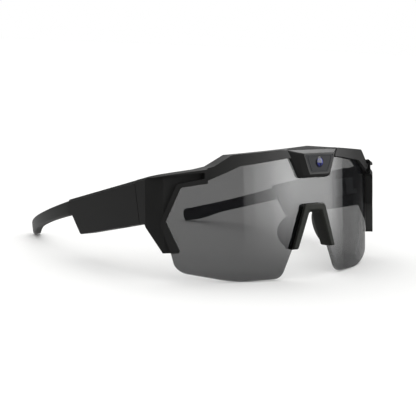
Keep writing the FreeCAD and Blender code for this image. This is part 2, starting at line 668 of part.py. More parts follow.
inner_cover_blank = slab("inner_cover_blank", TEMPLE, "side", housing_outline, "lid_inner_u",
                         "inner_cover - fit_gap / 2")
leaf_room = block("leaf_room", TEMPLE, ("0", "-2", "-hinge_low - fit_gap"),
                  ("90", "leaf_length + fit_gap", "hinge_top + fit_gap"))
grille_room = block(
    "grille_room", TEMPLE, ("0", "speaker_start + grille_frame", "-speaker_low + grille_frame"),
    ("90", "speaker_start + speaker_length - grille_frame", "-speaker_low + speaker_height - grille_frame"),
)
screw_places = [("4", "housing_top_front - 3.2"), ("notch_s - 3.6", "housing_top_rear - 3.4")]


def screws(name, radius, low, high):
    """One bar at each screw of the inner cover, between two X positions."""
    bars = [rod(f"{name}_{i}", TEMPLE, "X", (low, s, h), radius, f"({high}) - ({low})")
            for i, (s, h) in enumerate(screw_places)]
    return joined(name, *bars)


screw_room = screws("screw_room", "screw_head + fit_gap / 2", "lid_inner_u - 1", "lid_inner_u + screw_sunk")
screw_hole = screws("screw_hole", "screw_radius + fit_gap / 2", "lid_inner_u - 1", "lid_outer_u + 1")
left_cover = cut("left_cover", inner_cover_blank, leaf_room, grille_room, screw_room, screw_hole)
node("temple_inner_cover_left", left_cover)
contact_places = [("housing_rear_s - 6", "-housing_low + contact_up"),
                  ("housing_rear_s - 6 - contact_pitch", "-housing_low + contact_up")]


def contacts(name, radius, depth):
    """The two round charging contacts, flush with the inner cover's face."""
    discs = [rod(f"{name}_{i}", TEMPLE, "X", ("lid_inner_u", s, h), radius, depth)
             for i, (s, h) in enumerate(contact_places)]
    return joined(name, *discs)


contact_room = contacts("contact_room", "contact_radius + fit_gap / 2", "2 * inner_cover")
right_cover_source = cut("right_cover_source", left_cover, contact_room)
node("temple_inner_cover_right", mirror("right_cover", right_cover_source))
contact_pins = contacts("contacts", "contact_radius", "inner_cover + 0.3")
node("charging_contacts", mirror("contacts_right", contact_pins))
screw_bodies = cut(
    "screw_bodies",
    joined("screw_blank",
           screws("screw_heads", "screw_head", "lid_inner_u", "lid_inner_u + screw_sunk - fit_gap / 2"),
           screws("screw_shanks", "screw_radius", "lid_inner_u", "lid_outer_u - fit_gap")),
    screws("screw_sockets", "screw_radius - fit_gap", "lid_inner_u - 1", "lid_inner_u + screw_sunk / 2"),
)
pair("cover_screws", screw_bodies)

# speaker grille: a thin plate with slots, behind the opening in the inner cover
grille_plate = block(
    "grille_plate", TEMPLE,
    ("lid_inner_u + 0.2", "speaker_start + grille_frame + fit_gap", "-speaker_low + grille_frame + fit_gap"),
    ("lid_inner_u + 0.7", "speaker_start + speaker_length - grille_frame - fit_gap",
     "-speaker_low + speaker_height - grille_frame - fit_gap"),
)
slots = joined("grille_slots", *[
    block(f"grille_slot_{i}", TEMPLE,
          ("0", f"speaker_start + (speaker_length - slot_width) / 2 + {i} * slot_pitch", "-speaker_low + 2"),
          ("90", f"speaker_start + (speaker_length + slot_width) / 2 + {i} * slot_pitch",
           "-speaker_low + speaker_height - 2"))
    for i in (-2, -1, 0, 1, 2)
])
pair("speaker_grille", cut("speaker_grille", grille_plate, slots))

# ------------------------------------------------ what the housing holds
speaker = block(
    "speaker", TEMPLE, ("lid_outer_u + fit_gap", "speaker_start", "-speaker_low"),
    ("lid_outer_u + fit_gap + speaker_depth", "speaker_start + speaker_length",
     "-speaker_low + speaker_height"),
)
pair("speaker", speaker)
battery = block(
    "battery", TEMPLE, ("lid_outer_u + 3 * fit_gap", "battery_start", "floor_t + 4 * fit_gap"),
    ("lid_outer_u + 3 * fit_gap + battery_thickness", "battery_start + battery_length",
     "floor_t + 4 * fit_gap + battery_height"),
)
pair("battery", battery)
board = block(
    "board", TEMPLE, ("board_u", "leaf_length", "floor_t + 1.6"),
    ("board_u + board_thickness", "battery_start + battery_length", "housing_top_rear - housing_wall - 3"),
)
chip = block("chip", TEMPLE, ("board_u - chip_height", "leaf_length + 2", "1"),
             ("board_u", "leaf_length + 10", "6"))
shield_can = block("shield_can", TEMPLE, ("board_u - chip_height", "leaf_length + 11.4", "-1"),
                   ("board_u", "battery_start - 0.6", "6"))
node("audio_board", joined("audio_board", board, shield_can))
node("main_board", mirror("main_board", joined("main_board_source", board, shield_can, chip)))

# record button, on the right temple's underside
button_source = joined(
    "button_source",
    button_block("button_bar", "0", "-housing_low - button_proud",
                 "floor_t + button_lip + button_flange / 2"),
    block("button_flange_plate", TEMPLE,
          ("button_u - button_width / 2 - 0.3", "button_s - button_length / 2 - 0.6", "floor_t + button_lip"),
          ("button_u + button_width / 2 + 0.3", "button_s + button_length / 2 + 0.6",
           "floor_t + button_lip + button_flange")),
)
node("record_button", mirror("record_button", button_source))
switch = block(
    "switch", TEMPLE,
    ("board_u - switch_width", "button_s - switch_length / 2",
     "floor_t + button_lip + button_flange + button_travel + fit_gap"),
    ("board_u - fit_gap / 2", "button_s + switch_length / 2", "floor_t + 2.6"),
)
node("button_switch", mirror("button_switch", switch))

# ------------------------------------------------ ear tips
ear_outline = [
    ("tail_s + fit_gap", "ear_low_front"),
    ("ear_heel_s", "ear_heel_t", "20"),
    ("ear_end_s - 4", "ear_end_low", "2"),
    ("ear_end_s", "ear_end_low + 2", "1.2"),
    ("ear_end_s", "ear_end_top", "2"),
    ("tail_s - 0.4 + fit_gap", "ear_top_front"),
]
bend_centre = ("half_width - ear_inset - ear_bend_radius", "ear_bend_s", "-20")


def ear_drum(name, inset):
    """The cylinder, upright in the temple frame, that the ear tip's outer face follows, less an inset."""
    return rod(name, TEMPLE, "Z", bend_centre, f"ear_bend_radius - ({inset})", "40")


ear_blank = shared(
    "ear_blank",
    slab("ear_side", TEMPLE, "side", ear_outline, "0", "90"),
    cut("ear_wall", ear_drum("ear_drum_outer", "0"), ear_drum("ear_drum_inner", "ear_thickness")),
)
core_wall = cut(
    "core_wall",
    ear_drum("core_drum_outer", "(ear_thickness - core_thickness) / 2"),
    ear_drum("core_drum_inner", "(ear_thickness + core_thickness) / 2"),
)


def core_strip(name, grow, start, end):
    """The spring-steel strip's side view, grown by a gap."""
    line = [(start, "core_start_t"), ("core_mid_s", "core_mid_t"), (end, "core_end_t")]
    under = [(place, f"{middle} - core_height / 2 - {grow}") for place, middle in line]
    over = [(place, f"{middle} + core_height / 2 + {grow}") for place, middle in reversed(line)]
    return slab(name, TEMPLE, "side", under + over, "0", "90")


core_side = core_strip("core_side", "0", "core_start", "core_end")
pair("ear_tip_core", shared("ear_tip_core", core_wall, core_side))
core_space = shared(
    "core_space",
    cut("core_space_wall", ear_drum("core_space_outer", "(ear_thickness - core_thickness) / 2 - core_gap"),
        ear_drum("core_space_inner", "(ear_thickness + core_thickness) / 2 + core_gap")),
    core_strip("core_space_side", "core_gap", "core_start - 1", "core_end + core_gap"),
)
pair("ear_tip", cut("ear_tip", ear_blank, core_space))

# ------------------------------------------------ checks and files
doc.recompute()
for item in doc.Objects:
    if "Invalid" in item.State or "Error" in item.State:
        raise RuntimeError(f"{item.Name} did not build: {item.State}")
for name, item in NODES.items():
    if item.Shape.isNull() or not item.Shape.isValid() or not item.Shape.Solids:
        raise RuntimeError(f"{name} has no valid solid")
for name, item in NODES.items():
    item.Shape.exportStep(f"parts/{name}.step")
print(len(NODES), "nodes")
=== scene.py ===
"""Wraparound camera glasses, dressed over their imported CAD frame, piece by piece as they are put together."""
import bmesh
import bpy
import numpy as np
from mathutils import Matrix


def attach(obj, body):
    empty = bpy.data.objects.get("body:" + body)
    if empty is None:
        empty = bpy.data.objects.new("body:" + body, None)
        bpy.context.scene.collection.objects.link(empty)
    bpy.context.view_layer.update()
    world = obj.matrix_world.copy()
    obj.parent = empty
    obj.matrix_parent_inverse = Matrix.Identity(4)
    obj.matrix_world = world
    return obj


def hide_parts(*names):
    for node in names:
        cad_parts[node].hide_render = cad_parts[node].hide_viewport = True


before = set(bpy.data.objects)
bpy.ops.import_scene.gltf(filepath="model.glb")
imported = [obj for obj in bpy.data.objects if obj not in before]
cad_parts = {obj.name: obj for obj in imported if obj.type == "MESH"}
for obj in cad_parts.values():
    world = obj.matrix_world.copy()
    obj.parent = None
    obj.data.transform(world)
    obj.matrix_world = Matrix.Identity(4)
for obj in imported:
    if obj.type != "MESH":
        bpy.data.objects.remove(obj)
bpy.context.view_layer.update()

# ---------------------------------------------------------------- shield lens
# One injection-moulded polycarbonate shield, 2.2 mm thick and smoke tinted, with a hard coat on both faces.
# It is a plain cylinder of 101 mm radius, cut to its outline with a polished square edge.
# The brow frame grips its top.
LEAN = np.radians(5.06)
FRONT_Y = -81.89
LENS_RADIUS = 101.0
LENS_THICKNESS = 2.2


def front_place(x, depth, height):
    """Millimetres across, back from the lens's middle and up along the leaning front, as row-frame metres:
    depth and height turned by the lean about X, and set at the front's place."""
    y = FRONT_Y + depth * np.cos(LEAN) + height * np.sin(LEAN)
    z = -depth * np.sin(LEAN) + height * np.cos(LEAN)
    return np.stack(np.broadcast_arrays(x, y, z), axis=-1) / 1000


def drum_depth(x, offset):
    """How far back the upright drum of radius lens + offset lies at x: R - sqrt((R + offset)^2 - x^2)."""
    return LENS_RADIUS - np.sqrt((LENS_RADIUS + offset) ** 2 - np.square(x))


def rounded(corners, steps=10, run=2):
    """A path through corners (x, y, radius): each corner becomes an arc of some steps, tangent to its two
    sides, and each straight run between them gets as many points as run says, its ends included."""
    path = [np.array([corners[0][:2]])]
    for (ax, ay, _), (bx, by, r), (cx, cy, _) in zip(corners, corners[1:], corners[2:]):
        b = np.array([bx, by])
        u = np.array([ax, ay]) - b
        w = np.array([cx, cy]) - b
        u, w = u / np.linalg.norm(u), w / np.linalg.norm(w)
        half = np.arccos(np.clip(u @ w, -1, 1)) / 2
        reach = r / np.tan(half)
        centre = b + (u + w) / np.linalg.norm(u + w) * r / np.sin(half)
        start, end = b + u * reach - centre, b + w * reach - centre
        t = np.linspace(0, 1, steps)[:, None]
        arc = start * (1 - t) + end * t
        path.append(centre + arc / np.linalg.norm(arc, axis=1)[:, None] * r)
    path.append(np.array([corners[-1][:2]]))
    share = np.linspace(0, 1, run)[1:-1, None]
    runs = [before[-1] * (1 - share) + after[0] * share for before, after in zip(path, path[1:])]
    return np.vstack([path[0], *[part for pair in zip(runs, path[1:]) for part in pair]])


def closed(corners, steps=6):
    """A closed section through corners (x, y, radius), each one rounded."""
    return rounded([corners[-1], *corners, corners[0]], steps)[1:-1]


def skin(name, points, loop=True, caps=True):
    """A mesh over a grid of points, rows along the piece and columns round it. loop closes each column run
    into a tube, and caps fills the first and last row with one face each."""
    rows, columns = points.shape[:2]
    index = np.arange(rows * columns).reshape(rows, columns)
    if loop:
        index = np.hstack([index, index[:, :1]])
    quads = np.stack([index[:-1, :-1], index[:-1, 1:], index[1:, 1:], index[1:, :-1]], axis=-1).reshape(-1, 4)
    faces = quads.tolist()
    if caps:
        faces += [index[0, :columns][::-1].tolist(), index[-1, :columns].tolist()]
    mesh = bpy.data.meshes.new(name)
    mesh.from_pydata(points.reshape(-1, 3).tolist(), [], faces)
    shape = bmesh.new()
    shape.from_mesh(mesh)
    bmesh.ops.remove_doubles(shape, verts=shape.verts, dist=1e-7)
    bmesh.ops.recalc_face_normals(shape, faces=shape.faces)
    shape.to_mesh(mesh)
    shape.free()
    mesh.shade_smooth()
    piece = bpy.data.objects.new(name, mesh)
    bpy.context.scene.collection.objects.link(piece)
    return piece


def sharpen(piece, degrees):
    """Marks the edges that turn more than an angle as sharp, so that flats stay flat."""
    piece.data.set_sharp_from_angle(angle=np.radians(degrees))


def linear(code):
    """An sRGB hex colour as linear red, green, blue and an alpha of one."""
    c = np.array([int(code[i:i + 2], 16) for i in (0, 2, 4)]) / 255
    return (*np.where(c <= 0.04045, c / 12.92, ((c + 0.055) / 1.055) ** 2.4).tolist(), 1.0)


def add(tree, kind, sockets=None, links=None, **settings):
    """One node of a material with its settings, its sockets' values, and the sockets that feed it."""
    node = tree.nodes.new("ShaderNode" + kind)
    for key, value in settings.items():
        setattr(node, key, value)
    for key, value in (sockets or {}).items():
        node.inputs[key].default_value = value
    for key, source in (links or {}).items():
        tree.links.new(source, node.inputs[key])
    return node


def finish_of(name):
    """A new material with only its output and its principled shader, joined."""
    material = bpy.data.materials.new(name)
    material.use_nodes = True
    tree = material.node_tree
    tree.nodes.clear()
    shader = add(tree, "BsdfPrincipled")
    add(tree, "OutputMaterial", links={"Surface": shader.outputs[0]})
    return material, tree, shader


def colour(tree, shader, dark, light, share):
    """Colours a shader between two sRGB hex tones, by a socket that says how much of the light one."""
    tint = add(tree, "Mix", {"A": linear(dark), "B": linear(light)}, {"Factor": share}, data_type="RGBA")
    tree.links.new(tint.outputs["Result"], shader.inputs["Base Color"])


def emboss(tree, shader, height, depth, strength):
    """Bumps a shader's surface by a height socket, up to a depth in metres."""
    bump = add(tree, "Bump", {"Strength": strength, "Distance": depth}, {"Height": height})
    tree.links.new(bump.outputs[0], shader.inputs["Normal"])


def roughen(tree, shader, low, high, share):
    """Lets a shader's roughness wander between two values with a socket."""
    wear = add(tree, "MapRange", {"To Min": low, "To Max": high}, {"Value": share})
    tree.links.new(wear.outputs[0], shader.inputs["Roughness"])


# the outline of one half, from the middle outwards, as corners (x, height, radius)
nose_notch = [(0, 33.6, 0), (3.6, 33.6, 1.5)]
lower_edge = [(19.6, 0.85, 6), (42.9, 0.85, 55), (65.8, 6.4, 7), (70.4, 30.3, 0)]
camera_notch = [(0, 50.2, 0), (8.3, 50.2, 1), (15.2, 59.6, 1)]
upper_edge = [(42.5, 57.8, 4), (52.3, 51.3, 4), (68.4, 48.6, 1.5), (70.4, 31, 0)]
lens_low = rounded(nose_notch + lower_edge, 24)
lens_top = rounded(camera_notch + upper_edge, 8)


def spread(path, count):
    """The x of points spread evenly over the order of a path's points, so that its bends get more of them."""
    return np.interp(np.linspace(0, 1, count), np.linspace(0, 1, len(path)), path[:, 0])


half_x = np.unique(np.round(np.concatenate([spread(lens_low, 220), spread(lens_top, 60)]), 3))
lens_x = np.concatenate([-half_x[:0:-1], half_x])
low = np.interp(np.abs(lens_x), lens_low[:, 0], lens_low[:, 1])[:, None]
top = np.interp(np.abs(lens_x), lens_top[:, 0], lens_top[:, 1])[:, None]

# each section goes up the front face, over the top edge, down the back face and round the bottom edge
LENS_EDGE = 0.3
ROWS = 26
rise = np.linspace(0, 1, ROWS)
brim = np.linspace(0, np.pi, 7)[1:-1]
still = np.zeros(len(brim))
height = np.concatenate([rise, still + 1, rise[::-1], still])
swell = np.concatenate([0 * rise, np.sin(brim), 0 * rise, -np.sin(brim)]) * LENS_EDGE
through = np.concatenate([0 * rise, (1 - np.cos(brim)) / 2, 0 * rise + 1, (1 + np.cos(brim)) / 2])
lens_height = low + LENS_EDGE + (top - low - 2 * LENS_EDGE) * height + swell
angle = np.arcsin(lens_x / LENS_RADIUS)[:, None]
radius = LENS_RADIUS - LENS_THICKNESS * through
lens = skin("smoke_shield_lens",
            front_place(radius * np.sin(angle), LENS_RADIUS - radius * np.cos(angle), lens_height))
sharpen(lens, 40)

# Polycarbonate, moulded clear with a smoke dye and dip coated: neutral grey to look through,
# with a hard, wet shine
smoke, tree, shader = finish_of("polycarbonate_moulded_smoke_hard_coated")
shader.inputs["Roughness"].default_value = 0.03
shader.inputs["IOR"].default_value = 1.586
shader.inputs["Alpha"].default_value = 0.66
# the dye is a little denser where the resin flowed last: clouds about 25 mm across, hardly a shade apart
place = add(tree, "TexCoord").outputs["Object"]
flow = add(tree, "TexNoise", {"Scale": 1000 / 25, "Detail": 1.0}, {"Vector": place})
colour(tree, shader, "0c0d0f", "131417", flow.outputs[0])
lens.data.materials.append(smoke)

# The same polycarbonate where it was cut and polished: a slightly duller band, faintly mottled
cut, tree, shader = finish_of("polycarbonate_cut_and_polished_edge")
shader.inputs["Roughness"].default_value = 0.2
shader.inputs["Alpha"].default_value = 0.62
place = add(tree, "TexCoord").outputs["Object"]
marks = add(tree, "TexNoise", {"Scale": 1000 / 3, "Detail": 2.0}, {"Vector": place})
colour(tree, shader, "0b0c0c", "1b1c1d", marks.outputs[0])
lens.data.materials.append(cut)
# a face belongs to the cut edge when it looks away from the drum's own outward direction
EDGE_FACING = 0.75
for face in lens.data.polygons:
    bearing = np.arcsin(np.clip(face.center.x * 1000 / LENS_RADIUS, -1, 1))
    backwards = face.normal.y * np.cos(LEAN) - face.normal.z * np.sin(LEAN)
    if abs(face.normal.x * np.sin(bearing) - backwards * np.cos(bearing)) < EDGE_FACING:
        face.material_index = 1
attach(lens, "front")
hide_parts("shield_lens")

# ---------------------------------------------------------------- brow frame
# The black nylon bar that runs across the brow and grips the lens's top edge. It ends in an arm behind each
# side cover, and is injection moulded in one piece with a bevel along its top.
CRISP_EDGE = 25  # degrees


def moulding(name, node, width):
    """A copy of a CAD node's skin, its flats merged and its crisp edges rounded by a width in millimetres."""
    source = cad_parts[node]
    mesh = source.data.copy()
    mesh.materials.clear()
    shape = bmesh.new()
    shape.from_mesh(mesh)
    bmesh.ops.remove_doubles(shape, verts=shape.verts, dist=2e-6)
    bmesh.ops.dissolve_limit(shape, angle_limit=np.radians(0.8), verts=shape.verts, edges=shape.edges)
    shape.to_mesh(mesh)
    shape.free()
    piece = bpy.data.objects.new(name, mesh)
    bpy.context.scene.collection.objects.link(piece)
    mesh.shade_smooth()
    sharpen(piece, CRISP_EDGE)
    bevel = piece.modifiers.new("rounded edges", "BEVEL")
    bevel.width = width / 1000
    bevel.segments = 3
    bevel.limit_method = "ANGLE"
    bevel.angle_limit = np.radians(CRISP_EDGE)
    bevel.harden_normals = True
    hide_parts(node)
    return piece


def moulded(name, dark, light, roughness, grain, depth, shine=0.5):
    """A moulded plastic: two near colours in slow clouds, and a fine spark texture whose grain and depth are
    in millimetres. shine is the specular level, 0.5 for a smooth skin and less where texture scatters it."""
    material, tree, shader = finish_of(name)
    shader.inputs["Specular IOR Level"].default_value = shine
    place = add(tree, "TexCoord").outputs["Object"]
    clouds = add(tree, "TexNoise", {"Scale": 1000 / 14, "Detail": 3.0}, {"Vector": place})
    colour(tree, shader, dark, light, clouds.outputs[0])
    roughen(tree, shader, roughness - 0.04, roughness + 0.06, clouds.outputs[0])
    spark = add(tree, "TexNoise", {"Scale": 1000 / grain, "Detail": 2.0}, {"Vector": place})
    emboss(tree, shader, spark.outputs[0], depth / 1000, 0.35)
    return material


# Nylon 12, moulded against a spark-eroded tool: a dry black that turns grey where it faces the light
nylon = moulded("nylon_moulded_spark_texture_black", "171717", "1e1e1d", 0.46, 0.5, 0.012, 0.22)
brow = moulding("brow_frame", "front_frame", 0.35)
brow.data.materials.append(nylon)
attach(brow, "front")

# ---------------------------------------------------------------- side covers
# One nylon cover wraps each front corner: a smooth shell with a raised rim, bent like a chevron beside the
# lens. It is clipped over the brow frame's arm and hides the hinge.
for side in ("left", "right"):
    cover = moulding(f"corner_cover_{side}", f"side_cover_{side}", 0.45)
    cover.data.materials.append(nylon)
    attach(cover, "front")

# ---------------------------------------------------------------- camera
# A faceted nylon housing at the middle of the brow, with a satin face plate let into it and a domed glass.
# Behind the glass sit the barrel, its small lens element and the sensor's board, glued in line.
housing = moulding("camera_housing_shell", "camera_housing", 0.3)
housing.data.materials.append(nylon)
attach(housing, "front")

PLATE_FRONT = -4.92
PLATE_MIDDLE = 55.4
TOP_HALF, FOOT_HALF, PLATE_RISE, PLATE_ROUND = 9.9, 6.15, 4.3, 0.9
plate_edge = closed([(-TOP_HALF, PLATE_RISE, PLATE_ROUND), (TOP_HALF, PLATE_RISE, PLATE_ROUND),
                     (FOOT_HALF, -PLATE_RISE, PLATE_ROUND), (-FOOT_HALF, -PLATE_RISE, PLATE_ROUND)])
# from the edge inwards: a chamfer, a flat rim, a fine groove all round, then the face out to the middle
shrink = np.array([1.0, 1.0, 0.985, 0.86, 0.85, 0.83, 0.82, 0.4, 0.0])[:, None]
sunk = np.array([0.55, 0.15, 0.0, 0.0, 0.14, 0.14, 0.0, 0.0, 0.0])[:, None]
plate = skin("camera_plate", front_place(plate_edge[:, 0] * shrink, PLATE_FRONT + sunk + 0 * plate_edge[:, 0],
                                         PLATE_MIDDLE + plate_edge[:, 1] * shrink), caps=False)
sharpen(plate, 30)
# ABS, moulded and satin painted: a charcoal a shade lighter than the housing round it
plate_paint = moulded("abs_moulded_satin_charcoal_paint", "1b1c1e", "212224", 0.42, 0.4, 0.006, 0.1)
plate.data.materials.append(plate_paint)
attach(plate, "front")
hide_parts("camera_face_plate")

GLASS_MIDDLE = 56.0
GLASS_RADIUS = 2.6
GLASS_RISE = 0.66
dial = np.linspace(0, 2 * np.pi, 48, endpoint=False)
out = np.array([1.0, 1.0, *np.cos(np.linspace(0, np.pi / 2, 14))])[:, None]
proud = np.array([-0.25, -0.05, *(np.sin(np.linspace(0, np.pi / 2, 14)) ** 1.2)])[:, None]
dome = skin("camera_dome_glass", front_place(GLASS_RADIUS * out * np.sin(dial),
                                             PLATE_FRONT - GLASS_RISE * proud + 0 * dial,
                                             GLASS_MIDDLE + GLASS_RADIUS * out * np.cos(dial)), caps=False)
# Crown glass, ground and vacuum coated against reflections: deep violet blue round a black pupil,
# under a wet shine
violet, tree, shader = finish_of("crown_glass_ground_violet_coating")
shader.inputs["Roughness"].default_value = 0.03
shader.inputs["IOR"].default_value = 1.52
shader.inputs["Specular IOR Level"].default_value = 0.25
place = add(tree, "TexCoord").outputs["Object"]
pupil = -1000 * front_place(0, PLATE_FRONT, GLASS_MIDDLE)
centred = add(tree, "Mapping", {"Location": pupil.tolist(), "Scale": (1000, 1000, 1000)}, {"Vector": place})
away = add(tree, "VectorMath", links={0: centred.outputs[0]}, operation="LENGTH")
outwards = add(tree, "MapRange", {"From Max": GLASS_RADIUS}, {"Value": away.outputs["Value"]})
coating = add(tree, "ValToRGB", links={"Fac": outwards.outputs[0]})
coating.color_ramp.elements[0].color = linear("020208")
for stop, code in ((0.24, "07071c"), (0.38, "20245f"), (0.62, "454c9c"), (0.82, "171a48"), (0.97, "05050c")):
    coating.color_ramp.elements.new(stop).color = linear(code)
coating.color_ramp.elements[-1].color = linear("030306")
swirl = add(tree, "TexNoise", {"Scale": 0.7, "Detail": 1.0}, {"Vector": centred.outputs[0]})
depth_of = add(tree, "MapRange", {"From Min": 0.38, "From Max": 0.62, "To Min": 0.15, "To Max": 1.0},
               {"Value": swirl.outputs[0]})
tint = add(tree, "Mix", {"A": linear("04040c")}, {"B": coating.outputs[0], "Factor": depth_of.outputs[0]},
           data_type="RGBA")
tree.links.new(tint.outputs["Result"], shader.inputs["Base Color"])
dome.data.materials.append(violet)
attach(dome, "front")
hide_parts("camera_cover_glass")


def dress(material, *nodes):
    """Gives CAD nodes one material in place of the plain one that they come with."""
    for node in nodes:
        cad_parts[node].data.materials.clear()
        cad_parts[node].data.materials.append(material)


def metal(name, dark, light, roughness, grain, stretch):
    """A bare metal: two near tones in streaks of a grain in millimetres, drawn out along the frame's axes."""
    material, tree, shader = finish_of(name)
    shader.inputs["Metallic"].default_value = 1.0
    place = add(tree, "TexCoord").outputs["Object"]
    drawn = add(tree, "Mapping", {"Scale": tuple(1000 / grain / s for s in stretch)}, {"Vector": place})
    streak = add(tree, "TexNoise", {"Scale": 1.0, "Detail": 3.0}, {"Vector": drawn.outputs[0]})
    colour(tree, shader, dark, light, streak.outputs[0])
    roughen(tree, shader, roughness - 0.08, roughness + 0.08, streak.outputs[0])
    emboss(tree, shader, streak.outputs[0], 0.00001, 0.3)
    return material


# Aluminium, turned and black anodised: a dull dark metal that swallows stray light
dress(metal("aluminium_turned_black_anodised", "0d0d0e", "18181a", 0.5, 0.5, (1, 6, 1)), "camera_barrel")
dress(violet, "camera_lens_element")

# ---------------------------------------------------------------- nose bridge
# A soft rubber saddle moulded over the lens's nose notch: an upside-down U with rounded feet.
# Its front flange stands proud of the lens, its waist grips the edge, and its back carries the two pads.
SADDLE_FOOT = 14.2


def arch(foot_half, top_half, top, bend):
    """An upside-down U from foot to foot: legs that lean in to a level top, with a round bend at each end."""
    return rounded([(-foot_half, SADDLE_FOOT, 0), (-top_half, top, bend), (top_half, top, bend),
                    (foot_half, SADDLE_FOOT, 0)], 9, 40)


saddle_outer = arch(14.8, 7.0, 36.1, 1.9)
saddle_inner = arch(10.8, 3.5, 32.0, 1.5)
# the section: across from the outer side (0) to the inner one (1), and forwards of the lens's front face
section = closed([(0.03, 1.7, 0.3), (0.12, 2.5, 0.08), (0.7, 2.5, 0.1), (1.0, 1.5, 0.1), (1.0, -4.0, 0.1),
                  (0.82, -4.6, 0.1), (0.28, -4.6, 0.1), (0.2, -2.4, 0.1), (0.33, 0.0, 0.1)], 5)
travel = np.cumsum(np.r_[0, np.linalg.norm(np.diff(saddle_outer, axis=0), axis=1)])
from_end = np.minimum(travel, travel[-1] - travel)
FOOT = 1.3
plump = (1 - (1 - np.clip(from_end / FOOT, 0, 1)) ** 2.6) ** (1 / 2.6)
inwards = 0.5 + (section[:, 0] - 0.5) * plump[:, None]
forward = -1.0 + (section[:, 1] + 1.0) * plump[:, None]
saddle_x = saddle_outer[:, :1] + (saddle_inner - saddle_outer)[:, :1] * inwards
saddle_height = saddle_outer[:, 1:] + (saddle_inner - saddle_outer)[:, 1:] * inwards
saddle = skin("nose_saddle_soft", front_place(saddle_x, drum_depth(saddle_x, forward), saddle_height))
sharpen(saddle, 50)
# Silicone rubber, moulded in a blasted tool: an olive tinged black with no hard shine
rubber = moulded("silicone_rubber_moulded_olive_black", "121310", "1a1b16", 0.6, 0.6, 0.01, 0.15)
saddle.data.materials.append(rubber)
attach(saddle, "front")
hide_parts("nose_bridge")


# ---------------------------------------------------------------- nose pads
# Two thin rubber leaves on the back of the saddle's legs, moulded with it.
# They flare outwards to the rear to lie on the nose.
def bezier(points, t):
    """A cubic Bezier curve: the weights (1-t)^3, 3t(1-t)^2, 3t^2(1-t), t^3 on its four points."""
    weights = np.stack([(1 - t) ** 3, 3 * t * (1 - t) ** 2, 3 * t ** 2 * (1 - t), t ** 3], axis=-1)
    return weights @ np.array(points)


# a leaf's root on the saddle and its outer rim, from top to bottom, by points (x, depth, height)
down = (1 - np.cos(np.linspace(0, np.pi, 44))) / 2
root = bezier([(5.6, 3.9, 31.7), (7.8, 3.9, 25.8), (10.2, 3.9, 20.0), (12.1, 2.6, 14.6)], down)
rim = bezier([(6.0, 4.8, 31.9), (12.3, 13.8, 29.0), (15.2, 13.9, 18.0), (12.3, 2.8, 14.4)], down)
PAD_THICK = 2.5
leaf_round = np.linspace(0, 2 * np.pi, 36, endpoint=False)
reach = (rim - root)[:, None, :]
sideways = np.stack([reach[..., 1], -reach[..., 0]], axis=-1)
sideways = sideways / np.linalg.norm(sideways, axis=-1, keepdims=True)
thick = PAD_THICK / 2 * np.sin(np.pi * down)[:, None] ** 0.4
leaf = root[:, None, :] + reach * (0.5 - 0.5 * np.cos(leaf_round))[None, :, None]
swing = thick * np.sin(leaf_round)
for side, mirror in (("left", 1), ("right", -1)):
    leaf_x = (leaf[..., 0] + swing * sideways[..., 0]) * mirror
    leaf_depth = leaf[..., 1] + swing * sideways[..., 1]
    pad = skin(f"nose_pad_leaf_{side}", front_place(leaf_x, leaf_depth, leaf[..., 2]))
    pad.data.materials.append(rubber)
    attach(pad, "front")
    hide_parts(f"nose_pad_{side}")

# ---------------------------------------------------------------- hinges
# Two leaves a side, with knuckles on one pin.
# They are stamped and folded from stainless steel, and spot welded at the knuckles.
steel = metal("stainless_steel_stamped_tumbled", "8d8f92", "b4b6b8", 0.32, 0.6, (1, 5, 1))
for side in ("left", "right"):
    dress(steel, f"hinge_leaf_front_{side}", f"hinge_leaf_temple_{side}", f"hinge_pin_{side}")

# ---------------------------------------------------------------- temples
# Each temple is a hollow nylon housing, open on the inside and closed by a thin lid held by small screws.
# Both hold a speaker, a battery and a board, and the right one has the record button and charging contacts.
for side in ("left", "right"):
    shell = moulding(f"temple_housing_{side}", f"temple_shell_{side}", 0.4)
    shell.data.materials.append(nylon)
    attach(shell, f"temple_{side}")

# Nylon again, but against a polished tool, so the lids are smoother and a little glossier than the housings
satin = moulded("nylon_moulded_satin_black", "131313", "181818", 0.36, 0.8, 0.005)
for side in ("left", "right"):
    lid = moulding(f"temple_lid_{side}", f"temple_inner_cover_{side}", 0.12)
    lid.data.materials.append(satin)
    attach(lid, f"temple_{side}")
button = moulding("record_button_cap", "record_button", 0.12)
button.data.materials.append(satin)
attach(button, "button")

# Steel, cold headed and blackened: the lids' screws, dark with paler flecks
blackened = metal("steel_headed_black_oxide", "26262a", "55555a", 0.38, 0.25, (1, 1, 1))
# Stainless steel, etched through and painted black: the speakers' grilles
painted = metal("stainless_steel_etched_black", "1a1a1b", "2c2c2e", 0.45, 0.3, (1, 3, 1))
# Mylar and paper in a moulded basket: the speakers behind them
mylar = moulded("mylar_formed_black_speaker", "0e0e0f", "1c1c1e", 0.42, 1.2, 0.02)
# Aluminium laminate, heat sealed: the battery pouches, silver and faintly crumpled
pouch = metal("aluminium_laminate_heat_sealed", "9b9ea3", "c6c8cc", 0.3, 3.0, (1, 1, 1))
# Spring steel, rolled: the flat cores that stiffen the ear tips
spring = metal("spring_steel_rolled", "6d7074", "8f9296", 0.35, 0.5, (1, 8, 1))
for side in ("left", "right"):
    dress(blackened, f"cover_screws_{side}")
    dress(painted, f"speaker_grille_{side}")
    dress(mylar, f"speaker_{side}")
    dress(pouch, f"battery_{side}")
    dress(spring, f"ear_tip_core_{side}")


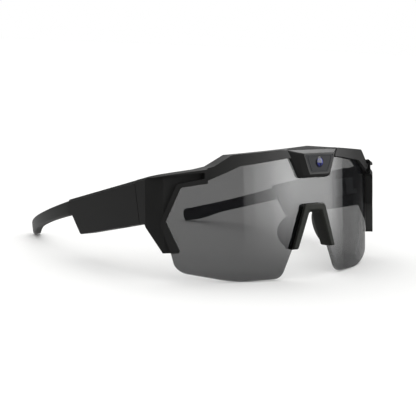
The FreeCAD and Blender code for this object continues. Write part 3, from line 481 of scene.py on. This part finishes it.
def board(name, dark, light):
    """A circuit board under its solder mask: cells 1.6 mm across, lighter and raised where copper lies."""
    material, tree, shader = finish_of(name)
    shader.inputs["Roughness"].default_value = 0.35
    shader.inputs["Coat Weight"].default_value = 0.4
    place = add(tree, "TexCoord").outputs["Object"]
    copper = add(tree, "TexVoronoi", {"Scale": 1000 / 1.6}, {"Vector": place}, distance="MANHATTAN")
    colour(tree, shader, dark, light, copper.outputs["Distance"])
    emboss(tree, shader, copper.outputs["Distance"], 0.00003, 0.5)
    return material


# Glass epoxy under a solder mask: green in the temples, and black behind the camera, where it can be seen
dress(board("glass_epoxy_green_solder_mask", "0e3a20", "1d5c34"), "main_board", "audio_board")
dress(board("glass_epoxy_black_solder_mask", "0c0d0d", "1a1b1b"), "image_sensor_board")
dress(steel, "button_switch")

# Brass, turned and gold plated: the two charging contacts
dress(metal("brass_turned_gold_plated", "d8a23a", "f0c96b", 0.22, 0.4, (1, 1, 1)), "charging_contacts")

# ---------------------------------------------------------------- ear tips
# Thermoplastic rubber moulded over the steel core: a tapering bar with soft edges, which bends in behind the
# ear and drops to a foot. It butts against the housing's rear end.
HINGE_Y, HINGE_HEIGHT = -39.09, 34.61
PITCH = np.radians(14.5)
BEND_RADIUS, BEND_MIDDLE, BEND_AXIS = 115.6, 60.0, 76 - 0.5 - 115.6
TIP_START, TIP_END = 57.55, 125.2
TIP_THICK = 4.6
FOOT_FROM, FOOT_RUN, FOOT_DROP = 101, 17, 2.4
SQUARENESS = 0.42


def temple_place(x, along, up):
    """Millimetres across, back from the hinge and up, in the temple's own pitched frame, as row-frame metres:
    along and up turned by the pitch about X, and set at the hinge's place."""
    y = HINGE_Y + along * np.cos(PITCH) + up * np.sin(PITCH)
    z = HINGE_HEIGHT - along * np.sin(PITCH) + up * np.cos(PITCH)
    return np.stack(np.broadcast_arrays(x, y, z), axis=-1) / 1000


def soft_square(wave, power):
    """A sine or cosine pushed out towards a square: its sign times its size to a power under one."""
    return np.sign(wave) * np.abs(wave) ** power


travelled = 1 - (1 - np.linspace(0, 1, 120)) ** 1.5
tip_run = TIP_START + (TIP_END - TIP_START) * travelled
foot_ease = np.clip((tip_run - FOOT_FROM) / FOOT_RUN, 0, 1)
# the top edge falls slowly, and the lower edge drops over the first 46 mm and again at the foot
tip_top = 8.2 - 0.072 * (tip_run - TIP_START) - 0.2 * np.sin(np.pi * travelled)
tip_low = (0.75 - 2.3 * np.clip((tip_run - TIP_START) / 46, 0, 1) ** 1.5
           - FOOT_DROP * foot_ease ** 2 * (3 - 2 * foot_ease))
# the end is rounded off over 2.2 mm, and the start has a soft shoulder where it meets the housing
blunt = np.minimum(1, (1 - (1 - np.clip((TIP_END - tip_run) / 2.2, 0, 1)) ** 2.8) ** (1 / 2.8))
shoulder = np.minimum(1, 0.9 + 0.1 * np.clip((tip_run - TIP_START) / 0.4, 0, 1) ** 0.5)
tip_half = ((tip_top - tip_low) / 2 * blunt * shoulder)[:, None]
tip_middle = ((tip_top + tip_low) / 2)[:, None]
tip_round = np.linspace(0, 2 * np.pi, 48, endpoint=False)
wide = TIP_THICK / 2 * (blunt * shoulder)[:, None]
inset = TIP_THICK / 2 - wide * soft_square(np.cos(tip_round), SQUARENESS)
bend = np.arcsin((tip_run - BEND_MIDDLE) / BEND_RADIUS)[:, None]
tip_x = BEND_AXIS + (BEND_RADIUS - inset) * np.cos(bend)
tip_along = BEND_MIDDLE + (BEND_RADIUS - inset) * np.sin(bend)
tip_up = tip_middle + tip_half * soft_square(np.sin(tip_round), SQUARENESS)
# Thermoplastic rubber, moulded in a blasted tool: softer and duller than the nylon, and a shade greyer
soft = moulded("thermoplastic_rubber_moulded_black", "1b1c1b", "242523", 0.56, 0.7, 0.015, 0.35)
for side, mirror in (("left", 1), ("right", -1)):
    tip = skin(f"ear_tip_soft_{side}", temple_place(tip_x * mirror, tip_along, tip_up))
    tip.data.materials.append(soft)
    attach(tip, f"temple_{side}")
    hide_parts(f"ear_tip_{side}")

# ---------------------------------------------------------------- studio
# A white sweep under an even white light. Only gloss sees the room: a dark dome with a softbox overhead,
# a curved light panel from the front round to the wearer's left, and the pale floor below.
strip = np.linspace(-9, 9, 9)
floor_grid = np.stack(np.broadcast_arrays(strip[:, None], strip, 0.0), axis=-1)
floor = skin("studio_floor", floor_grid, loop=False, caps=False)
paper, tree, shader = finish_of("studio_paper_matte_white")
shader.inputs["Base Color"].default_value = linear("f4f4f3")
shader.inputs["Roughness"].default_value = 1.0
shader.inputs["Specular IOR Level"].default_value = 0.0
floor.data.materials.append(paper)
floor.visible_glossy = False

world = bpy.data.worlds.new("studio")
bpy.context.scene.world = world
world.use_nodes = True
world.node_tree.nodes["Background"].inputs["Color"].default_value = (1, 1, 1, 1)
world.node_tree.nodes["Background"].inputs["Strength"].default_value = 1.0

sun = bpy.data.lights.new("overhead_softbox", "SUN")
sun.energy = 0.75
sun.angle = np.radians(70)
overhead = bpy.data.objects.new("overhead_softbox", sun)
overhead.rotation_euler = (np.radians(-18), np.radians(8), 0)
overhead.visible_glossy = False
bpy.context.scene.collection.objects.link(overhead)


def smooth(value, low, high):
    """0 below low, 1 above high, and 3t^2 - 2t^3 between."""
    t = np.clip((value - low) / (high - low), 0, 1)
    return t * t * (3 - 2 * t)


PANEL_FROM, PANEL_TO = -2.0, 76.0
DOME_RADIUS = 6.0
# degrees round from straight ahead and up from level, finer at the panel's edges
bearings = np.sort(np.r_[np.linspace(-180, 180, 241), PANEL_FROM + np.array([-0.4, 0.4]),
                         PANEL_TO + np.array([-1.5, 1.5])])
tilt = np.sort(np.r_[np.linspace(-90, 90, 91), np.linspace(-9, 5, 57)])[:, None]
shell_points = DOME_RADIUS * np.stack(np.broadcast_arrays(
    np.sin(np.radians(bearings)) * np.cos(np.radians(tilt)),
    -np.cos(np.radians(bearings)) * np.cos(np.radians(tilt)),
    np.sin(np.radians(tilt)) + 0 * bearings), axis=-1)
# the panel's foot rises towards its right end, and its light falls off to the foot and to both ends
HUMP_AT, HUMP_LIGHT = 32, 8.5
foot = tilt + 5.2 * (bearings / PANEL_TO) ** 2
# it is brightest at one bearing, fades quickly towards the front and slowly round to the side
hump = np.where(bearings < HUMP_AT, HUMP_LIGHT * np.exp(-((bearings - HUMP_AT) / 24) ** 2),
                HUMP_LIGHT - 0.11 * (bearings - HUMP_AT))
hump = hump * (1 - 0.7 * smooth(bearings, 58, 74))
within = (bearings > PANEL_FROM) & (bearings < PANEL_TO)
panel = hump * smooth(foot, -2.9, 2.4) * (1 - smooth(tilt, 25, 40)) * within
# the rest of the room: the softbox overhead, a pale wall behind the wearer, and the floor
ceiling = (1 - 0.85 * smooth(np.abs(bearings - 95), 30, 80)) * 9.0 * smooth(tilt, 26, 46)
wall = smooth(np.abs(bearings), 140, 165) * smooth(-tilt, -12, 6)
room = 0.05 + 0.34 * smooth(-tilt, 3, 14) + wall + np.maximum(ceiling, 3.0 * smooth(tilt, 60, 80))
room_glow = np.maximum(panel, room)
gloss_room = bpy.data.meshes.new("studio_gloss_room")
rows, columns = room_glow.shape
index = np.arange(rows * columns).reshape(rows, columns)
gloss_room.from_pydata(shell_points.reshape(-1, 3).tolist(), [], np.stack(
    [index[:-1, :-1], index[1:, :-1], index[1:, 1:], index[:-1, 1:]], axis=-1).reshape(-1, 4).tolist())
level = gloss_room.attributes.new("glow", "FLOAT", "POINT")
level.data.foreach_set("value", room_glow.ravel().astype(np.float32))
backdrop = bpy.data.objects.new("studio_gloss_room", gloss_room)
bpy.context.scene.collection.objects.link(backdrop)
cloth = bpy.data.materials.new("studio_light_cloth")
cloth.use_nodes = True
tree = cloth.node_tree
tree.nodes.clear()
lit = add(tree, "Emission", links={"Strength": add(tree, "Attribute", attribute_name="glow").outputs["Fac"]})
add(tree, "OutputMaterial", links={"Surface": lit.outputs[0]})
gloss_room.materials.append(cloth)
for ray in ("camera", "diffuse", "transmission", "volume_scatter", "shadow"):
    setattr(backdrop, f"visible_{ray}", False)

# the camera: azimuth, elevation and roll of the view, and a long lens
azimuth, elevation, roll = np.radians([-41.24, 8.397, 2.607])
back = np.array([np.sin(azimuth) * np.cos(elevation), -np.cos(azimuth) * np.cos(elevation),
                 np.sin(elevation)])
level_right = np.array([np.cos(azimuth), np.sin(azimuth), 0])
level_up = np.cross(back, level_right)
stance = np.eye(4)
stance[:3, 0] = np.cos(roll) * level_right + np.sin(roll) * level_up
stance[:3, 1] = -np.sin(roll) * level_right + np.cos(roll) * level_up
stance[:3, 2] = back
stance[:3, 3] = (-0.403417, -0.462703, 0.113055)
eye = bpy.data.cameras.new("view")
eye.lens, eye.sensor_width = 100.34, 36
eye.clip_start, eye.clip_end = 0.01, 50
camera = bpy.data.objects.new("view", eye)
bpy.context.scene.collection.objects.link(camera)
camera.matrix_world = Matrix(stance.tolist())
bpy.context.scene.camera = camera
bpy.context.scene.view_settings.view_transform = "Standard"
